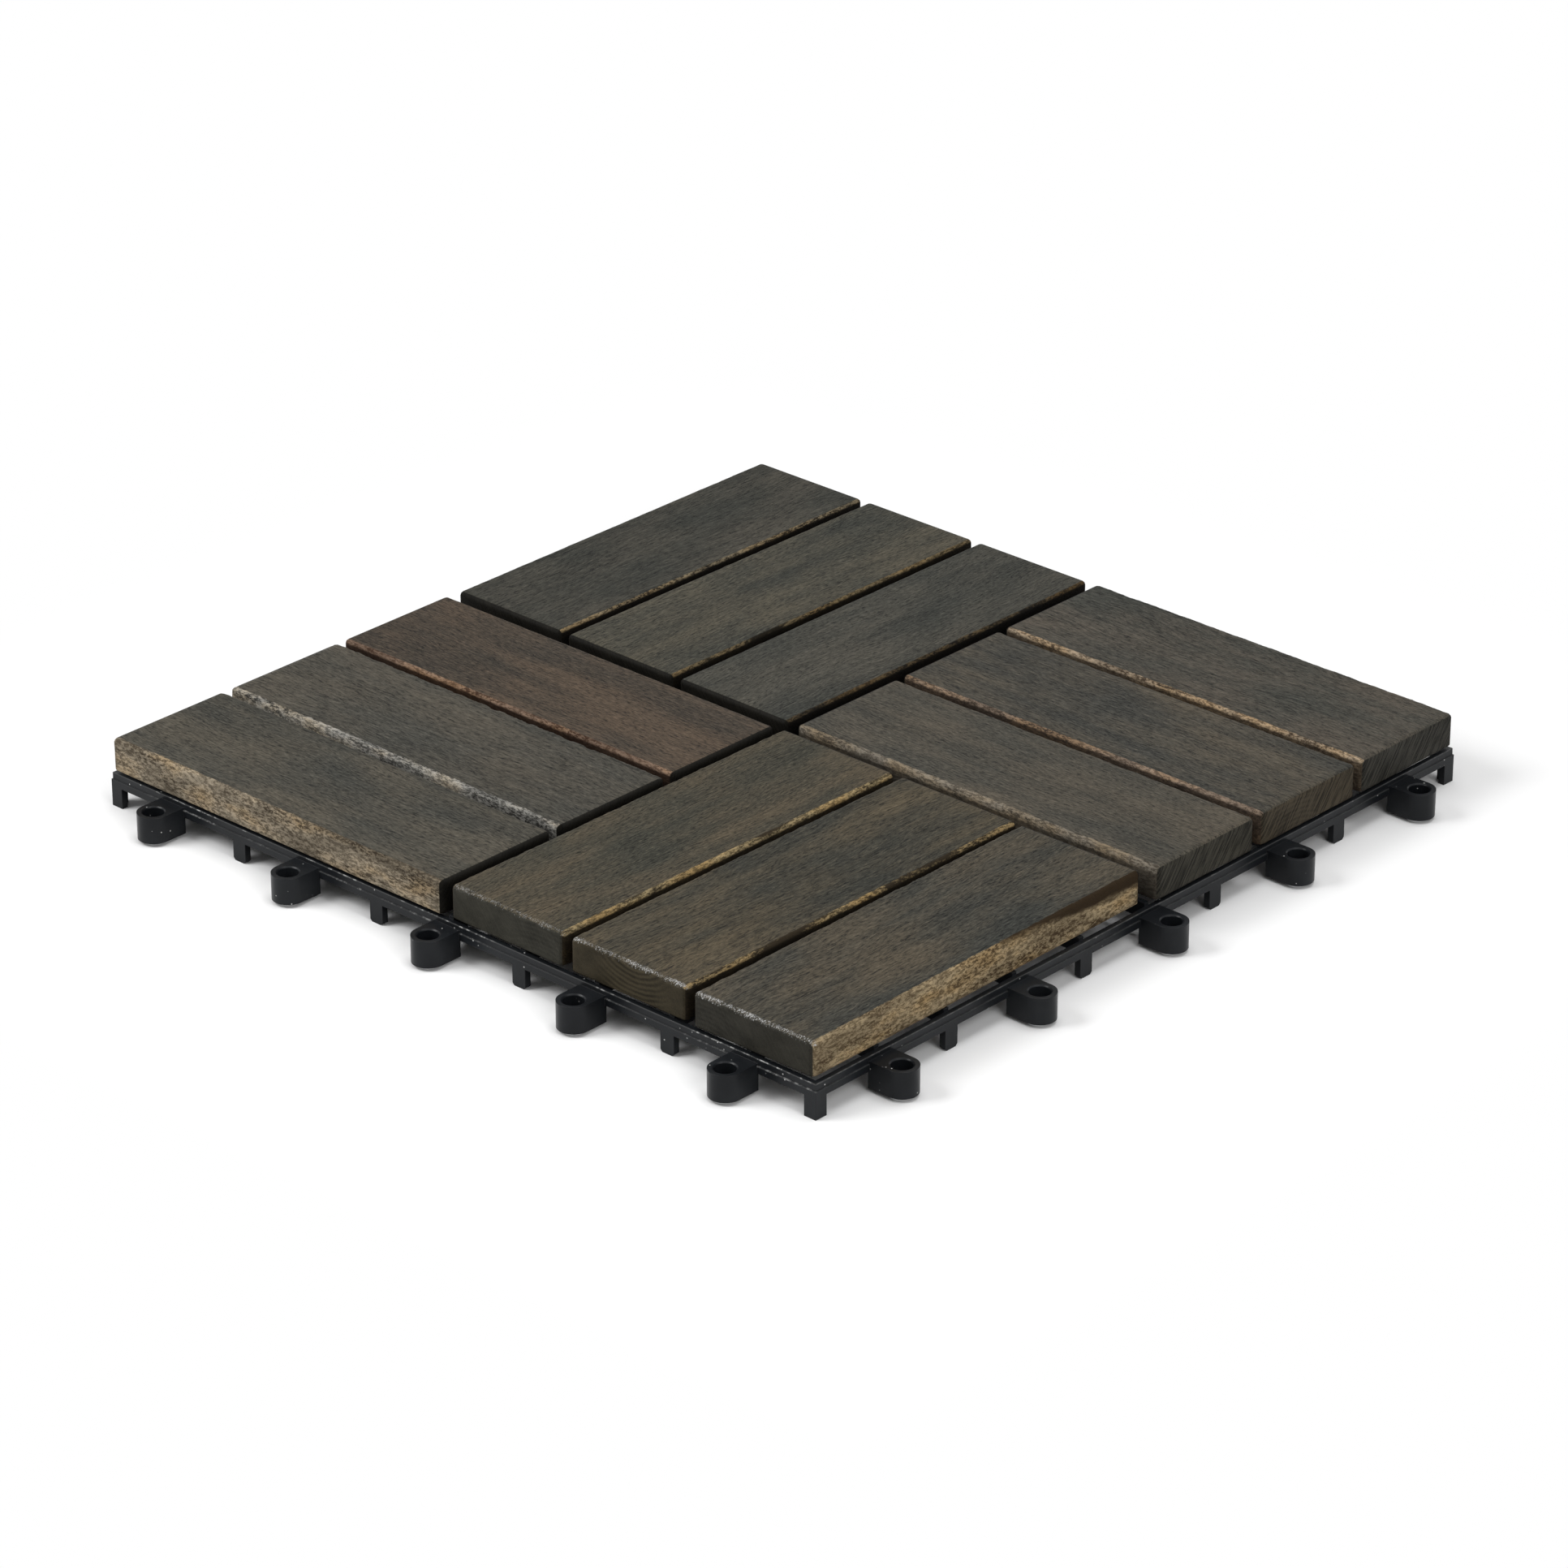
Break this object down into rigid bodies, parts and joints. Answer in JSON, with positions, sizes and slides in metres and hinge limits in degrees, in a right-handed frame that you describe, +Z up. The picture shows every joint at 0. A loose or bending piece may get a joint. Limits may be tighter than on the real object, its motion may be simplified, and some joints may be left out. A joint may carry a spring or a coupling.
{
  "type": "interlocking deck tile",
  "caption": "Square deck tile of hardwood slats in a basket weave on a moulded plastic base, with loops on two sides and pegs on the other two.",
  "frame": {"origin": "middle of the tile's 300 mm square at floor level", "axes": "+Z up; the loops stand out on the -Y and +X sides, the pegs are on the -X and +Y sides"},
  "size_m": [0.313, 0.313, 0.0235],
  "materials": {
    "base_plastic": "satin moulded charcoal",
    "slat_left_wood": "dark grey-brown stain, worn pale edges",
    "slat_front_wood": "olive-brown stain, golden edges",
    "slat_right_wood": "grey-brown stain, cream edges",
    "slat_back_wood": "dark olive-grey stain",
    "screw_steel": "plain zinc"
  },
  "bodies": {
    "root": {"base_grid": "base_plastic", "slat_left_1": "slat_left_wood", "slat_left_2": "slat_left_wood", "slat_left_3": "slat_left_wood", "slat_front_1": "slat_front_wood", "slat_front_2": "slat_front_wood", "slat_front_3": "slat_front_wood", "slat_right_1": "slat_right_wood", "slat_right_2": "slat_right_wood", "slat_right_3": "slat_right_wood", "slat_back_1": "slat_back_wood", "slat_back_2": "slat_back_wood", "slat_back_3": "slat_back_wood", "screws": "screw_steel"}
  },
  "joints": []
}
